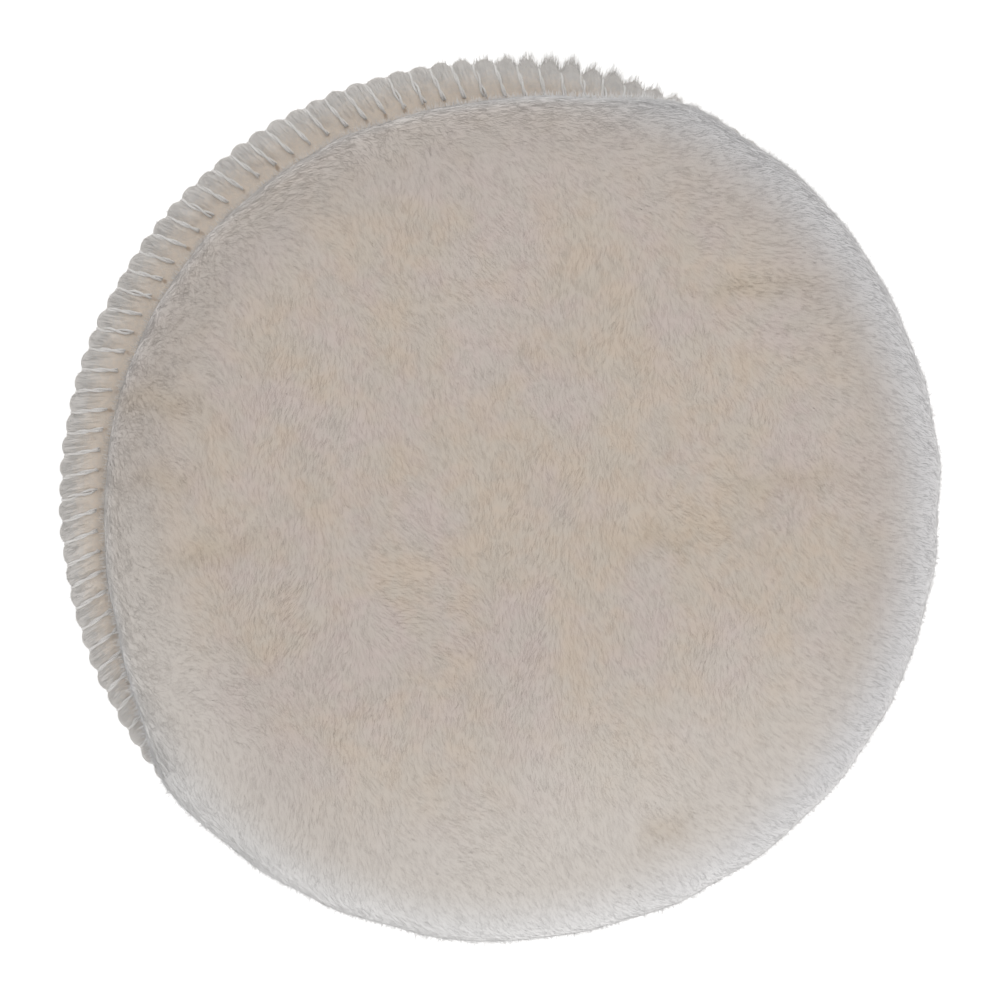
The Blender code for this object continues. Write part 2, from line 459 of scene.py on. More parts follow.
@dataclass
class Strands:
    """Fine closed strands in one mesh, each a pointed tube.

    Each strand has its own row of stations along it, of the ways that they face for shading, and of widths at
    the inner stations. Its tint is a random share, and its furrow says how deep in a parting it is rooted.
    """

    stations: np.ndarray
    facings: np.ndarray
    widths: np.ndarray
    tints: np.ndarray
    furrows: np.ndarray
    softness: float = 0.86
    least_soft: float = 0.4
    wall_soft: float = 0.2
    cell_margin: float = 0.04
    seed: int = 3
    sides: int = 3

    def some(self, part: np.ndarray) -> Self:
        """Returns the strands with these numbers."""
        rows = ("stations", "facings", "widths", "tints", "furrows")
        return replace(self, **{row: getattr(self, row)[part] for row in rows})

    def rings(self) -> tuple[np.ndarray, np.ndarray]:
        """Works out the ring of points round each inner station.

        Returns:
            The points, and the directions that they face.
        """
        along = unit(self.stations[:, 2:] - self.stations[:, :-2])
        chance = np.random.default_rng(self.seed)
        across = unit(np.cross(along, unit(chance.normal(size=(len(along), 1, 3)))))
        beyond = np.cross(along, across)
        turn = (2 * np.pi * np.arange(self.sides) / self.sides)[:, None]
        spoke = np.cos(turn) * across[:, :, None] + np.sin(turn) * beyond[:, :, None]
        points = self.stations[:, 1:-1, None] + spoke * self.widths[:, :, None, None] / 2
        soft = self.softness * np.clip(self.wall_soft + self.facings[:, 1:-1, None, 2:], self.least_soft, 1.0)
        facing = unit(spoke * (1 - soft) + self.facings[:, 1:-1, None] * soft)
        return points, facing

    def pattern(self) -> tuple[list[tuple[int, ...]], list[tuple[tuple[float, float], ...]]]:
        """Lists one strand's faces and where their corners lie in its cell of the bake map.

        Returns:
            The faces, as vertex numbers, and each corner's place from 0 to 1.
        """
        sides, marks = self.sides, self.stations.shape[1]
        level = np.linspace(0, 1, marks)
        tip = 1 + (marks - 2) * sides
        faces, cells = [], []
        for side in range(sides):
            after, left, right = (side + 1) % sides, side / sides, (side + 1) / sides
            middle = (left + right) / 2
            faces.append((0, 1 + after, 1 + side))
            cells.append(((middle, level[0]), (right, level[1]), (left, level[1])))
            for step in range(marks - 3):
                low, high = 1 + step * sides, 1 + (step + 1) * sides
                faces.append((low + side, low + after, high + after, high + side))
                near, far = level[step + 1], level[step + 2]
                cells.append(((left, near), (right, near), (right, far), (left, far)))
            last = tip - sides
            faces.append((last + side, last + after, tip))
            cells.append(((left, level[-2]), (right, level[-2]), (middle, level[-1])))
        return faces, cells

    def build(self, name: str) -> bpy.types.Object:
        """Makes the mesh, its bake map, its attributes and its soft normals.

        Args:
            name: The object's name.

        Returns:
            The object, at the origin.
        """
        count, marks = self.stations.shape[:2]
        points, facing = (
            np.concatenate([ends[:, :1], ring.reshape(count, -1, 3), ends[:, -1:]], axis=1)
            for ends, ring in zip((self.stations, self.facings), self.rings())
        )
        each = points.shape[1]
        faces, cells = self.pattern()
        sizes = np.array([len(face) for face in faces])
        corners, spots = np.concatenate(faces), np.concatenate(cells)
        mesh = bpy.data.meshes.new(name)
        mesh.vertices.add(count * each)
        mesh.vertices.foreach_set("co", points.astype(np.float32).ravel())
        mesh.loops.add(count * len(corners))
        loops = (np.arange(count)[:, None] * each + corners).astype(np.int32)
        mesh.loops.foreach_set("vertex_index", loops.ravel())
        mesh.polygons.add(count * len(faces))
        starts = np.cumsum(sizes) - sizes
        starts = (np.arange(count)[:, None] * len(corners) + starts).astype(np.int32)
        mesh.polygons.foreach_set("loop_start", starts.ravel())
        mesh.polygons.foreach_set("use_smooth", np.ones(count * len(faces), bool))
        self.lay_out(mesh, spots, count)
        level = np.concatenate([[0], np.repeat(np.linspace(0, 1, marks)[1:-1], self.sides), [1]])
        mark(mesh, "along", np.tile(level, count))
        mark(mesh, "tint", np.repeat(self.tints, each))
        mark(mesh, "furrow", np.repeat(self.furrows, each))
        mesh.update(calc_edges=True)
        mesh.normals_split_custom_set_from_vertices(facing.reshape(-1, 3).astype(np.float32))
        obj = bpy.data.objects.new(name, mesh)
        bpy.context.scene.collection.objects.link(obj)
        return obj

    def lay_out(self, mesh: bpy.types.Mesh, spots: np.ndarray, count: int) -> None:
        """Gives each strand a cell of its own in the bake map.

        Args:
            mesh: The strands.
            spots: Where one strand's corners lie in its cell.
            count: How many strands there are.
        """
        row = math.ceil(math.sqrt(count))
        cell = np.stack([np.arange(count) % row, np.arange(count) // row], axis=-1)
        layer = mesh.uv_layers.new(name=BAKE_MAP)
        flat = (cell[:, None] + self.cell_margin + (1 - 2 * self.cell_margin) * spots[None]) / row
        layer.data.foreach_set("uv", flat.astype(np.float32).ravel())


# Finishes


class Graph:
    """Adds nodes to a tree and links them by the names of their sockets."""

    def __init__(self, tree: bpy.types.NodeTree, groups: Groups | None = None) -> None:
        """Takes the tree to add to and the shared groups that can be placed in it."""
        self.tree = tree
        self.groups = groups or {}

    def add(self, kind: str, settings: dict | None = None, **inputs: object) -> bpy.types.Node:
        """Adds a node.

        Args:
            kind: The node's type.
            settings: Properties of the node itself.
            inputs: Values or sockets for its inputs, with _ for a space in their names.

        Returns:
            The node.
        """
        node = self.tree.nodes.new(kind)
        for name, value in (settings or {}).items():
            setattr(node, name, value)
        for name, value in inputs.items():
            socket = node.inputs[int(name[1:])] if name[1:].isdigit() else node.inputs[name.replace("_", " ")]
            if isinstance(value, Socket):
                self.tree.links.new(value, socket)
            else:
                socket.default_value = value
        return node

    def shared(self, group: str, **inputs: object) -> bpy.types.Node:
        """Places a shared group."""
        return self.add("ShaderNodeGroup", {"node_tree": self.groups[group]}, **inputs)

    def attribute(self, name: str) -> Socket:
        """Returns a number that the mesh carries at its vertices."""
        return self.add("ShaderNodeAttribute", {"attribute_name": name}).outputs["Fac"]

    def vector(self, operation: str, first: Socket, second: Direction = (0.0, 0.0, 0.0)) -> Socket:
        """Returns the result of one step on vectors: a number for a dot product or a length."""
        node = self.add("ShaderNodeVectorMath", {"operation": operation}, _0=first, _1=second)
        return node.outputs["Value" if operation in ("DOT_PRODUCT", "LENGTH") else "Vector"]

    def maths(self, operation: str, first: Socket | float, second: Socket | float = 0.0) -> Socket:
        """Returns the result of one arithmetic step."""
        return self.add("ShaderNodeMath", {"operation": operation}, _0=first, _1=second).outputs[0]

    def spread(self, value: Socket, low: float, high: float) -> Socket:
        """Returns the value's place between low and high, held from 0 to 1 and eased."""
        settings = {"interpolation_type": "SMOOTHSTEP"}
        node = self.add("ShaderNodeMapRange", settings, Value=value, From_Min=low, From_Max=high)
        return node.outputs["Result"]

    def mix(
        self, share: Socket | float, first: Socket | Colour, second: Socket | Colour, way: str = "MIX"
    ) -> Socket:
        """Mixes two colours.

        Args:
            share: How much of the second is used, from 0 to 1.
            first: The colour at 0.
            second: The colour at 1.
            way: How the second goes over the first.

        Returns:
            The mixed colour's socket.
        """
        node = self.tree.nodes.new("ShaderNodeMix")
        node.data_type, node.blend_type = "RGBA", way
        for socket, value in zip((node.inputs[0], node.inputs[6], node.inputs[7]), (share, first, second)):
            if isinstance(value, Socket):
                self.tree.links.new(value, socket)
            else:
                socket.default_value = value if isinstance(value, float) else (*value, 1.0)
        return node.outputs[2]


def shared_group(
    name: str, inputs: dict[str, float], outputs: Sequence[str]
) -> tuple[bpy.types.NodeTree, Graph]:
    """Starts a node group with a Vector input, number inputs and number outputs.

    Args:
        name: The group's name.
        inputs: Each number input and its default.
        outputs: The names of its outputs.

    Returns:
        The group and a graph to fill it with.
    """
    group = bpy.data.node_groups.new(name, "ShaderNodeTree")
    group.interface.new_socket("Vector", in_out="INPUT", socket_type="NodeSocketVector")
    for label, default in inputs.items():
        socket = group.interface.new_socket(label, in_out="INPUT", socket_type="NodeSocketFloat")
        socket.default_value = default
    for label in outputs:
        group.interface.new_socket(label, in_out="OUTPUT", socket_type="NodeSocketFloat")
    return group, Graph(group)


def mottle_group() -> bpy.types.NodeTree:
    """Soft blotches at two sizes, for wool and cloth that isn't evenly coloured.

    Returns:
        The group.
    """
    group, graph = shared_group("wool_mottle", {"Size": 0.009, "Amount": 1.0}, ("Blotch", "Fleck"))
    start = graph.add("NodeGroupInput")
    where, amount = start.outputs["Vector"], start.outputs["Amount"]
    scale = graph.maths("DIVIDE", 1.0, start.outputs["Size"])
    fine = graph.maths("MULTIPLY", scale, 5.3)
    large = graph.add("ShaderNodeTexNoise", Vector=where, Scale=scale, Detail=3.0, Roughness=0.55)
    small = graph.add("ShaderNodeTexNoise", Vector=where, Scale=fine, Detail=2.0, Roughness=0.6)
    blotch = graph.maths("MULTIPLY", graph.spread(large.outputs["Fac"], 0.36, 0.64), amount)
    fleck = graph.maths("MULTIPLY", graph.spread(small.outputs["Fac"], 0.35, 0.65), amount)
    graph.add("NodeGroupOutput", Blotch=blotch, Fleck=fleck)
    return group


def fuzz_group() -> bpy.types.NodeTree:
    """Height of fine tangled fibres, for the bump of cloth, foam and core.

    Returns:
        The group.
    """
    group, graph = shared_group("fibre_fuzz", {"Size": 0.0004}, ("Height",))
    start = graph.add("NodeGroupInput")
    scale = graph.maths("DIVIDE", 1.0, start.outputs["Size"])
    tangle = graph.add(
        "ShaderNodeTexNoise",
        Vector=start.outputs["Vector"],
        Scale=scale,
        Detail=4.0,
        Roughness=0.7,
        Distortion=1.2,
    )
    graph.add("NodeGroupOutput", Height=tangle.outputs["Fac"])
    return group


@dataclass(frozen=True)
class Fade:
    """Where one tone takes over from another: outwards, or along a direction."""

    start: float
    end: float
    strength: float = 1.0
    direction: Direction = UP

    def over(self, graph: Graph, distance: Socket) -> Socket:
        """Returns the second tone's share, which rises from 0 at the start to the strength at the end."""
        return graph.maths("MULTIPLY", graph.spread(distance, self.start, self.end), self.strength)

    def along(self, graph: Graph, where: Socket) -> Socket:
        """Returns the second tone's share along the fade's own direction."""
        return self.over(graph, graph.vector("DOT_PRODUCT", where, self.direction))


@dataclass(frozen=True)
class Finish:
    """What every finish of the pad has: a roughness, a sheen and a bump of tangled fibres."""

    name: str
    roughness: float = 0.9
    sheen: float = 0.2
    fuzz_size: float = 0.35 * MM
    fuzz_height: float = 0.1 * MM

    def colour(self, graph: Graph, where: Socket) -> Socket:
        """Returns the colour's socket. Each finish paints its own."""
        raise NotImplementedError

    def material(self, groups: Groups) -> bpy.types.Material:
        """Builds the material.

        Args:
            groups: The shared node groups by name.

        Returns:
            The material.
        """
        made = bpy.data.materials.new(self.name)
        made.use_nodes = True
        tree = made.node_tree
        graph = Graph(tree, groups)
        shader = tree.nodes["Principled BSDF"]
        where = graph.add("ShaderNodeTexCoord").outputs["Object"]
        plain = {
            "Roughness": self.roughness,
            "Sheen Weight": self.sheen,
            "Sheen Roughness": 0.5,
            "Specular IOR Level": 0.2,
        }
        for socket, value in plain.items():
            shader.inputs[socket].default_value = value
        tree.links.new(self.colour(graph, where), shader.inputs["Base Color"])
        if self.fuzz_height:
            fuzz = graph.shared("fuzz", Vector=where, Size=self.fuzz_size).outputs["Height"]
            height = graph.maths("MULTIPLY", fuzz, self.fuzz_height)
            bump = graph.add("ShaderNodeBump", Height=height, Distance=1.0, Strength=0.8)
            tree.links.new(bump.outputs["Normal"], shader.inputs["Normal"])
        return made


@dataclass(frozen=True)
class WoolFinish(Finish):
    """Cream wool: beige and rose in the middle and greyer outwards, with painted light that makes it lighter
    at the bottom and at the lower left, and a rim made pale by whiter tips and painted light.

    The wool's wall is lifted by painted light where it covers the seam, most of all on the side away from the
    key light. Painted light also fills the shade at its foot and between strands, and painted shade darkens
    the partings.
    """

    beige: Colour = (0.600, 0.500, 0.408)
    rose: Colour = (0.590, 0.502, 0.460)
    sage: Colour = (0.555, 0.510, 0.450)
    grey: Colour = (0.552, 0.498, 0.458)
    # Painted light: a paler tone laid where the wool is lit more, towards the bottom and the lower left.
    painted_light_tone: Colour = (0.700, 0.650, 0.600)
    fringe: Colour = (0.560, 0.550, 0.553)
    # The white tone is painted light: the rim turns to it on the lit lower side.
    white: Colour = (0.700, 0.688, 0.680)
    # Painted light for the wool's steep wall, paler still on the side away from the key light, where the wall
    # is most in shade.
    edge: Colour = (0.748, 0.737, 0.730)
    painted_light_far_wall: Colour = (0.900, 0.890, 0.885)
    # Root tone made paler as painted light that fills the shade at the wool's foot.
    root: Colour = (0.720, 0.645, 0.570)
    # Painted shade for the furrows of the partings.
    painted_parting_shade: Colour = (0.530, 0.420, 0.300)
    # Painted light: a near-white that lifts the core, filling the shade seen between strands.
    painted_gap_light: Colour = (0.95, 0.93, 0.90)
    middle: Direction = (2.4 * MM, -1.4 * MM, 0.0)
    broad_blotch: float = 12 * MM
    close_blotch: float = 4 * MM
    sage_share: float = 0.5
    greying: Fade = Fade(40 * MM, 57 * MM, 0.8)
    painted_light_below: Fade = Fade(20 * MM, 62 * MM, 1.0, (0.25, -0.97, 0.0))
    painted_light_lower_left: Fade = Fade(40 * MM, 58 * MM, 0.9, (-0.9, -0.42, 0.0))
    # Paler rim: partly whiter wool tips, partly painted light where fibres at the edge are lit through.
    pale_tips_and_light: Fade = Fade(53.5 * MM, 61.5 * MM, 1.0, (0.055, -0.02, 0.0))
    rim_painted_light: Fade = Fade(0.0, 62 * MM, 1.0, (-0.5, -0.87, 0.0))
    wall: Fade = Fade(11.5 * MM, 6.5 * MM)
    foot: Fade = Fade(5.2 * MM, 4.0 * MM)
    covering: Fade = Fade(46 * MM, 20 * MM, 0.64, (-0.8, 0.6, 0.0))
    bare_share: float = 0.36
    far_side: Fade = Fade(-45 * MM, -10 * MM, 1.0, (-0.55, 0.8, 0.0))
    painted_parting_shade_share: float = 0.42
    tint_share: float = 0.10
    core_share: float = 0.06
    root_shade: float = 0.965
    tip_gain: float = 0.05
    strands: bool = True

    def reach(self, graph: Graph, where: Socket) -> Socket:
        """Returns the distance from the middle of the wool, seen from above."""
        moved = graph.vector("SUBTRACT", where, self.middle)
        return graph.vector("LENGTH", graph.vector("MULTIPLY", moved, (1, 1, 0)))

    def face(self, graph: Graph, where: Socket, reach: Socket) -> Socket:
        """Paints the wool's face: blotches that grey outwards, and painted light that makes it lighter below
        and at the lower left.

        Args:
            graph: The material's graph.
            where: Object coordinates.
            reach: The distance from the middle of the wool.

        Returns:
            The colour's socket.
        """
        broad = graph.shared("mottle", Vector=where, Size=self.broad_blotch).outputs["Blotch"]
        close = graph.shared("mottle", Vector=where, Size=self.close_blotch).outputs["Blotch"]
        base = graph.mix(broad, self.beige, self.rose)
        base = graph.mix(graph.maths("MULTIPLY", close, self.sage_share), base, self.sage)
        base = graph.mix(self.greying.over(graph, reach), base, self.grey)
        # Painted light: lighter towards the bottom and towards the lower left.
        base = graph.mix(self.painted_light_below.along(graph, where), base, self.painted_light_tone)
        return graph.mix(self.painted_light_lower_left.along(graph, where), base, self.painted_light_tone)

    def colour(self, graph: Graph, where: Socket) -> Socket:
        """Paints the face, then pales its rim with whiter tips and painted light, lifts its wall and foot
        with painted light, and paints shade into the partings.

        Args:
            graph: The material's graph.
            where: Object coordinates.

        Returns:
            The colour's socket.
        """
        reach = self.reach(graph, where)
        # Rim: paler wool tips with painted light, whitest towards the bottom.
        tilt = graph.vector("DOT_PRODUCT", where, self.pale_tips_and_light.direction)
        pale = self.pale_tips_and_light.over(graph, graph.maths("ADD", reach, tilt))
        rim = graph.mix(self.rim_painted_light.along(graph, where), self.fringe, self.white)
        base = graph.mix(pale, self.face(graph, where, reach), rim)
        # Painted light on the wall where the wool covers the seam, most on the side away from the key light.
        covered = graph.maths("ADD", self.covering.along(graph, where), self.bare_share)
        wall = graph.mix(self.far_side.along(graph, where), self.edge, self.painted_light_far_wall)
        base = graph.mix(graph.maths("MULTIPLY", self.wall.along(graph, where), covered), base, wall)
        # The wool's foot: root tone with painted light that fills its shade.
        low = graph.maths("MULTIPLY", self.foot.along(graph, where), graph.maths("SUBTRACT", 1.0, pale))
        base = graph.mix(low, base, self.root)
        # Painted shade in the partings' furrows.
        furrow = graph.maths("MULTIPLY", graph.attribute("furrow"), self.painted_parting_shade_share)
        base = graph.mix(furrow, base, self.painted_parting_shade)
        if not self.strands:
            # Painted light on the core, filling the shade between strands.
            return graph.mix(self.core_share, base, self.painted_gap_light)
        tint = graph.maths("MULTIPLY", graph.attribute("tint"), self.tint_share)
        along = graph.maths("MULTIPLY", graph.attribute("along"), self.tip_gain)
        depth = graph.maths("ADD", along, self.root_shade)
        shade = graph.add("ShaderNodeCombineColor", Red=depth, Green=depth, Blue=depth).outputs[0]
        return graph.mix(1.0, graph.mix(tint, base, self.fringe), shade, "MULTIPLY")


@dataclass(frozen=True)
class SeamClothFinish(Finish):
    """Ground cloth: tan along the seam's inner edge with painted shade for the needle holes, grey-white at
    the rim.
    """

    tan: Colour = (0.910, 0.800, 0.690)
    grey: Colour = (0.700, 0.672, 0.645)
    # Painted shade of the needle holes.
    hole: Colour = (0.420, 0.290, 0.190)
    greying: Fade = Fade(57.0 * MM, 62.2 * MM)
    fleck_share: float = 0.25
    blotch: float = 3 * MM
    stitch_count: int = 125
    needle_radius: float = 56.5 * MM
    hole_size: float = 0.42 * MM
    hole_share: float = 0.7

    def holes(self, graph: Graph, where: Socket, reach: Socket) -> Socket:
        """Marks the painted shade of a needle hole at the inner end of each stitch.

        Args:
            graph: The material's graph.
            where: Object coordinates.
            reach: The distance from the pad's axis.

        Returns:
            1 in a hole, falling to 0 round it.
        """
        parts = graph.add("ShaderNodeSeparateXYZ", Vector=where)
        angle = graph.maths("ARCTAN2", parts.outputs["Y"], parts.outputs["X"])
        count = graph.maths("MULTIPLY", angle, self.stitch_count / (2 * math.pi))
        off = graph.maths("SUBTRACT", count, graph.maths("ROUND", count))
        across = graph.maths("MULTIPLY", off, 2 * math.pi * self.needle_radius / self.stitch_count)
        along = graph.maths("MULTIPLY", graph.maths("SUBTRACT", reach, self.needle_radius), 0.6)
        squares = [graph.maths("MULTIPLY", side, side) for side in (across, along)]
        far = graph.maths("SQRT", graph.maths("ADD", *squares))
        return graph.spread(far, self.hole_size, self.hole_size * 0.3)

    def colour(self, graph: Graph, where: Socket) -> Socket:
        """Paints the change from the needle holes out to the rim, and painted shade in the needle holes,
        stronger in some blotches than others.

        Args:
            graph: The material's graph.
            where: Object coordinates.

        Returns:
            The colour's socket.
        """
        reach = graph.vector("LENGTH", graph.vector("MULTIPLY", where, (1, 1, 0)))
        mottle = graph.shared("mottle", Vector=where, Size=self.blotch).outputs
        fleck = graph.maths("MULTIPLY", mottle["Fleck"], self.fleck_share)
        share = graph.maths("ADD", self.greying.over(graph, reach), fleck)
        base = graph.mix(graph.maths("MINIMUM", share, 1.0), self.tan, self.grey)
        # Painted shade in the needle holes, stronger in some blotches than others.
        hole_shade_mask = graph.maths("MULTIPLY", mottle["Blotch"], mottle["Blotch"])
        hole_shade_mask = graph.maths("MULTIPLY", hole_shade_mask, self.hole_share)
        return graph.mix(graph.maths("MULTIPLY", self.holes(graph, where, reach), hole_shade_mask), base, self.hole)


@dataclass(frozen=True)
class PlainFinish(Finish):
    """A two-tone mottled finish, for thread, foam and grip loops."""

    light: Colour = (0.7, 0.68, 0.65)
    dark: Colour = (0.6, 0.58, 0.55)
    blotch: float = 3 * MM

    def colour(self, graph: Graph, where: Socket) -> Socket:
        """Mixes the two tones in blotches."""
        mottle = graph.shared("mottle", Vector=where, Size=self.blotch)
        return graph.mix(mottle.outputs["Blotch"], self.dark, self.light)


# The pad's pieces


class Surface:
    """A finished mesh that strands are laid on."""

    corner_blur = 0.05 * MM

    def __init__(self, obj: bpy.types.Object) -> None:
        """Reads the mesh's faces and smooth normals.

        Args:
            obj: The mesh object, at the origin.
        """
        mesh = obj.data
        self.points = coordinates(obj)
        faces = [tuple(face.vertices) for face in mesh.polygons]
        self.corners = np.array([(face * 2)[:4] for face in faces])
        self.tree = BVHTree.FromPolygons(self.points.tolist(), faces)
        flat = np.empty(len(mesh.vertices) * 3)
        mesh.vertices.foreach_get("normal", flat)
        self.normals = flat.reshape(-1, 3)

    def nearest(self, places: np.ndarray) -> tuple[np.ndarray, np.ndarray]:
        """Finds the surface's closest points.

        Args:
            places: Points near the surface.

        Returns:
            The closest points on it and the smooth normals there.
        """
        found = np.array([(*spot, face) for spot, _, face, _ in map(self.tree.find_nearest, places.tolist())])
        spots, corners = found[:, :3], self.corners[found[:, 3].astype(int)]
        far = np.sum((self.points[corners] - spots[:, None]) ** 2, axis=-1)
        weight = 1 / (far + self.corner_blur**2)
        return spots, unit(np.sum(self.normals[corners] * weight[..., None], axis=1))

    def scatter(self, count: int, seed: int, lowest: float) -> np.ndarray:
        """Scatters points evenly over the surface.

        Args:
            count: How many.
            seed: The seed of their places.
            lowest: Faces whose normal points down further than this get none.

        Returns:
            The points.
        """
        chance = np.random.default_rng(seed)
        quad = self.points[self.corners]
        cross = np.cross(quad[:, 2] - quad[:, 0], quad[:, 3] - quad[:, 1])
        area = np.linalg.norm(cross, axis=1)
        area = area * (cross[:, 2] > lowest * area)
        picked = chance.choice(len(area), count, p=area / area.sum())
        first, second = chance.random((2, count, 1))
        near = quad[picked, 0] * (1 - first) + quad[picked, 1] * first
        far = quad[picked, 3] * (1 - first) + quad[picked, 2] * first
        return near * (1 - second) + far * second


@dataclass(frozen=True)
class Parting:
    """A faint furrow where the wool lies apart. Its sizes are in millimetres and its heading in degrees."""

    x: float
    y: float
    length: float
    heading: float
    depth: float = 0.42
    width: float = 2.1

    def share(self, points: np.ndarray) -> np.ndarray:
        """Works out how deep in the furrow the points lie, from 0 to 1.

        Args:
            points: Places on the wool.

        Returns:
            The depth at each place.
        """
        turn = math.radians(self.heading)
        x, y = points[:, 0] / MM - self.x, points[:, 1] / MM - self.y
        along = x * math.cos(turn) + y * math.sin(turn)
        across = y * math.cos(turn) - x * math.sin(turn) + 0.6 * np.sin(along * 0.9)
        return np.exp(-((along / self.length * 1.6) ** 2) - (across / self.width) ** 2)


@dataclass(frozen=True)
class ThinSpot:
    """A place at the rim where the wool reaches less far. Its heading and breadth are in degrees."""

    heading: float
    breadth: float
    depth: float

    def loss(self, angle: np.ndarray) -> np.ndarray:
        """Returns how much less far the wool reaches at each angle."""
        off = np.degrees(apart(angle, math.radians(self.heading)))
        return self.depth * np.exp(-((off / self.breadth) ** 2))


@dataclass
class WoolPile:
    """The brushed wool: a dense core, and fine strands that lie over to one side and cover the rim there."""

    shape: PadShape
    root_radius: float = 55.5 * MM
    root_height: float = 4.1 * MM
    root_gap: float = 0.2 * MM
    clearance: float = 0.7 * MM
    nominal_radius: float = 60.0 * MM
    bare_band: float = 6.7 * MM
    cover_radius: float = 62.5 * MM
    thin_spots: tuple[ThinSpot, ...] = (ThinSpot(-14, 7, 0.25 * MM), ThinSpot(56, 7, 0.4 * MM))
    strand_layer: float = 0.4 * MM
    shoulder: float = 8.0 * MM
    waist: float = 0.30
    bare_waist: float = 0.14
    bare_slope: float = 1.5
    bare_straightness: float = 0.15
    droop: float = 1.5 * MM
    partings: tuple[Parting, ...] = (
        Parting(35, 30, 13, 5),
        Parting(41, 3, 14, 8),
        Parting(23, -5, 13, 12),
        Parting(-48, 14, 12, -6),
        Parting(-40, -7, 11, 10),
        Parting(-47, 3, 8, -4),
        Parting(23, -46, 6, 30),
    )
    crown: float = 0.8 * MM
    swells: tuple[tuple[float, float, int], ...] = ((0.16, 24.0, 21), (0.045, 7.0, 22), (0.012, 2.6, 23))
    strand_count: int = 104000
    fringe_count: int = 14000
    pieces: int = 8
    middle_heading: float = math.radians(-72)
    length: float = 1.5 * MM
    width: float = 0.056 * MM
    lock: float = 0.8 * MM
    lock_stray: float = 0.08
    stray: float = 0.20
    root_depth: float = 0.06 * MM
    tilt_up: float = 0.8
    guard_share: float = 0.015
    combed_back: float = 0.8
    seed: int = 5

    def outline(self, angle: np.ndarray) -> np.ndarray:
        """Radius that the wool reaches: short of the seam on the side it is brushed away from.

        Args:
            angle: Angles about the pad's axis.

        Returns:
            The radius at each angle.
        """
        thin = sum(spot.loss(angle) for spot in self.thin_spots)
        waves = 0.2 * MM * SmoothField(14 * MM, 24)(polar(self.cover_radius, angle, 0.0))
        return self.cover_radius - self.bare_band * self.shape.bareness(angle) - thin + waves

    def heights(self) -> tuple[float, float]:
        """Returns the heights at which the wool starts to spread over the rim, and of the shoulder's top."""
        return self.root_height + self.clearance, self.shape.pile_top - self.crown - self.strand_layer

    def underside(self, radius: float) -> float:
        """Returns the height of the core's underside, which lies on the ground cloth."""
        return float(self.shape.pinched(radius, self.shape.ground[1] + self.root_gap, self.root_height))

    def profile(self) -> Profile:
        """Rings of the core, from its underside's middle out and round to its crown.

        Returns:
            (radius, height) of each ring.
        """
        outer = self.nominal_radius - self.strand_layer
        foot, top = self.heights()
        waist = foot + self.waist * (top - foot)
        inner = [2 * MM, 30 * MM, 45 * MM] + [51 * MM + 1.2 * MM * step for step in range(4)]
        rings = [(radius, self.underside(radius)) for radius in [*inner, self.root_radius]]
        for turn in (math.pi / 2 * step / 8 for step in range(8)):
            reach = self.root_radius + (outer - self.root_radius) * math.sin(turn)
            rings.append((reach, foot + (waist - foot) * (1 - math.cos(turn)) ** 2.8))
        for turn in (math.pi / 2 * step / 12 for step in range(13)):
            reach = outer - self.shoulder * (1 - math.cos(turn))
            rings.append((reach, waist + (top - waist) * math.sin(turn)))
        for share in (1 - step / 40 for step in range(1, 40)):
            rings.append(((outer - self.shoulder) * share, top + self.crown * (1 - share * share)))
        return rings

    def lowered(self, rise: np.ndarray, bare: np.ndarray) -> np.ndarray:
        """Lowers the core's widest ring where the seam is bare.

        Args:
            rise: Heights as a share of the core's wall.
            bare: How bare the seam is there.

        Returns:
            The new heights, as shares.
        """
        waist = self.waist - (self.waist - self.bare_waist) * bare
        above = waist + (rise - self.waist) / (1 - self.waist) * (1 - waist)
        return np.minimum(np.where(rise < self.waist, rise / self.waist * waist, above), rise)

    def drawn_in(self, radius: np.ndarray, climb: np.ndarray, bare: np.ndarray) -> np.ndarray:
        """Works out how far in from the outline the core's face lies, with a gentler slope on the bare side.

        Args:
            radius: The turned core's radii.
            climb: Heights above the waist, as shares.
            bare: How bare the seam is there.

        Returns:
            The distances, as shares of the outline's radius.
        """
        outer = self.nominal_radius - self.strand_layer
        inward = np.clip(outer - radius, 0, None)
        straight = np.where(inward < self.shoulder, self.shoulder * climb, inward)
        inward = inward + self.bare_straightness * bare * (straight - inward)
        slope = (self.bare_slope - 1) * bare * self.shoulder
        return (inward + slope * (1 - np.exp(-inward / self.shoulder))) / (outer + slope)

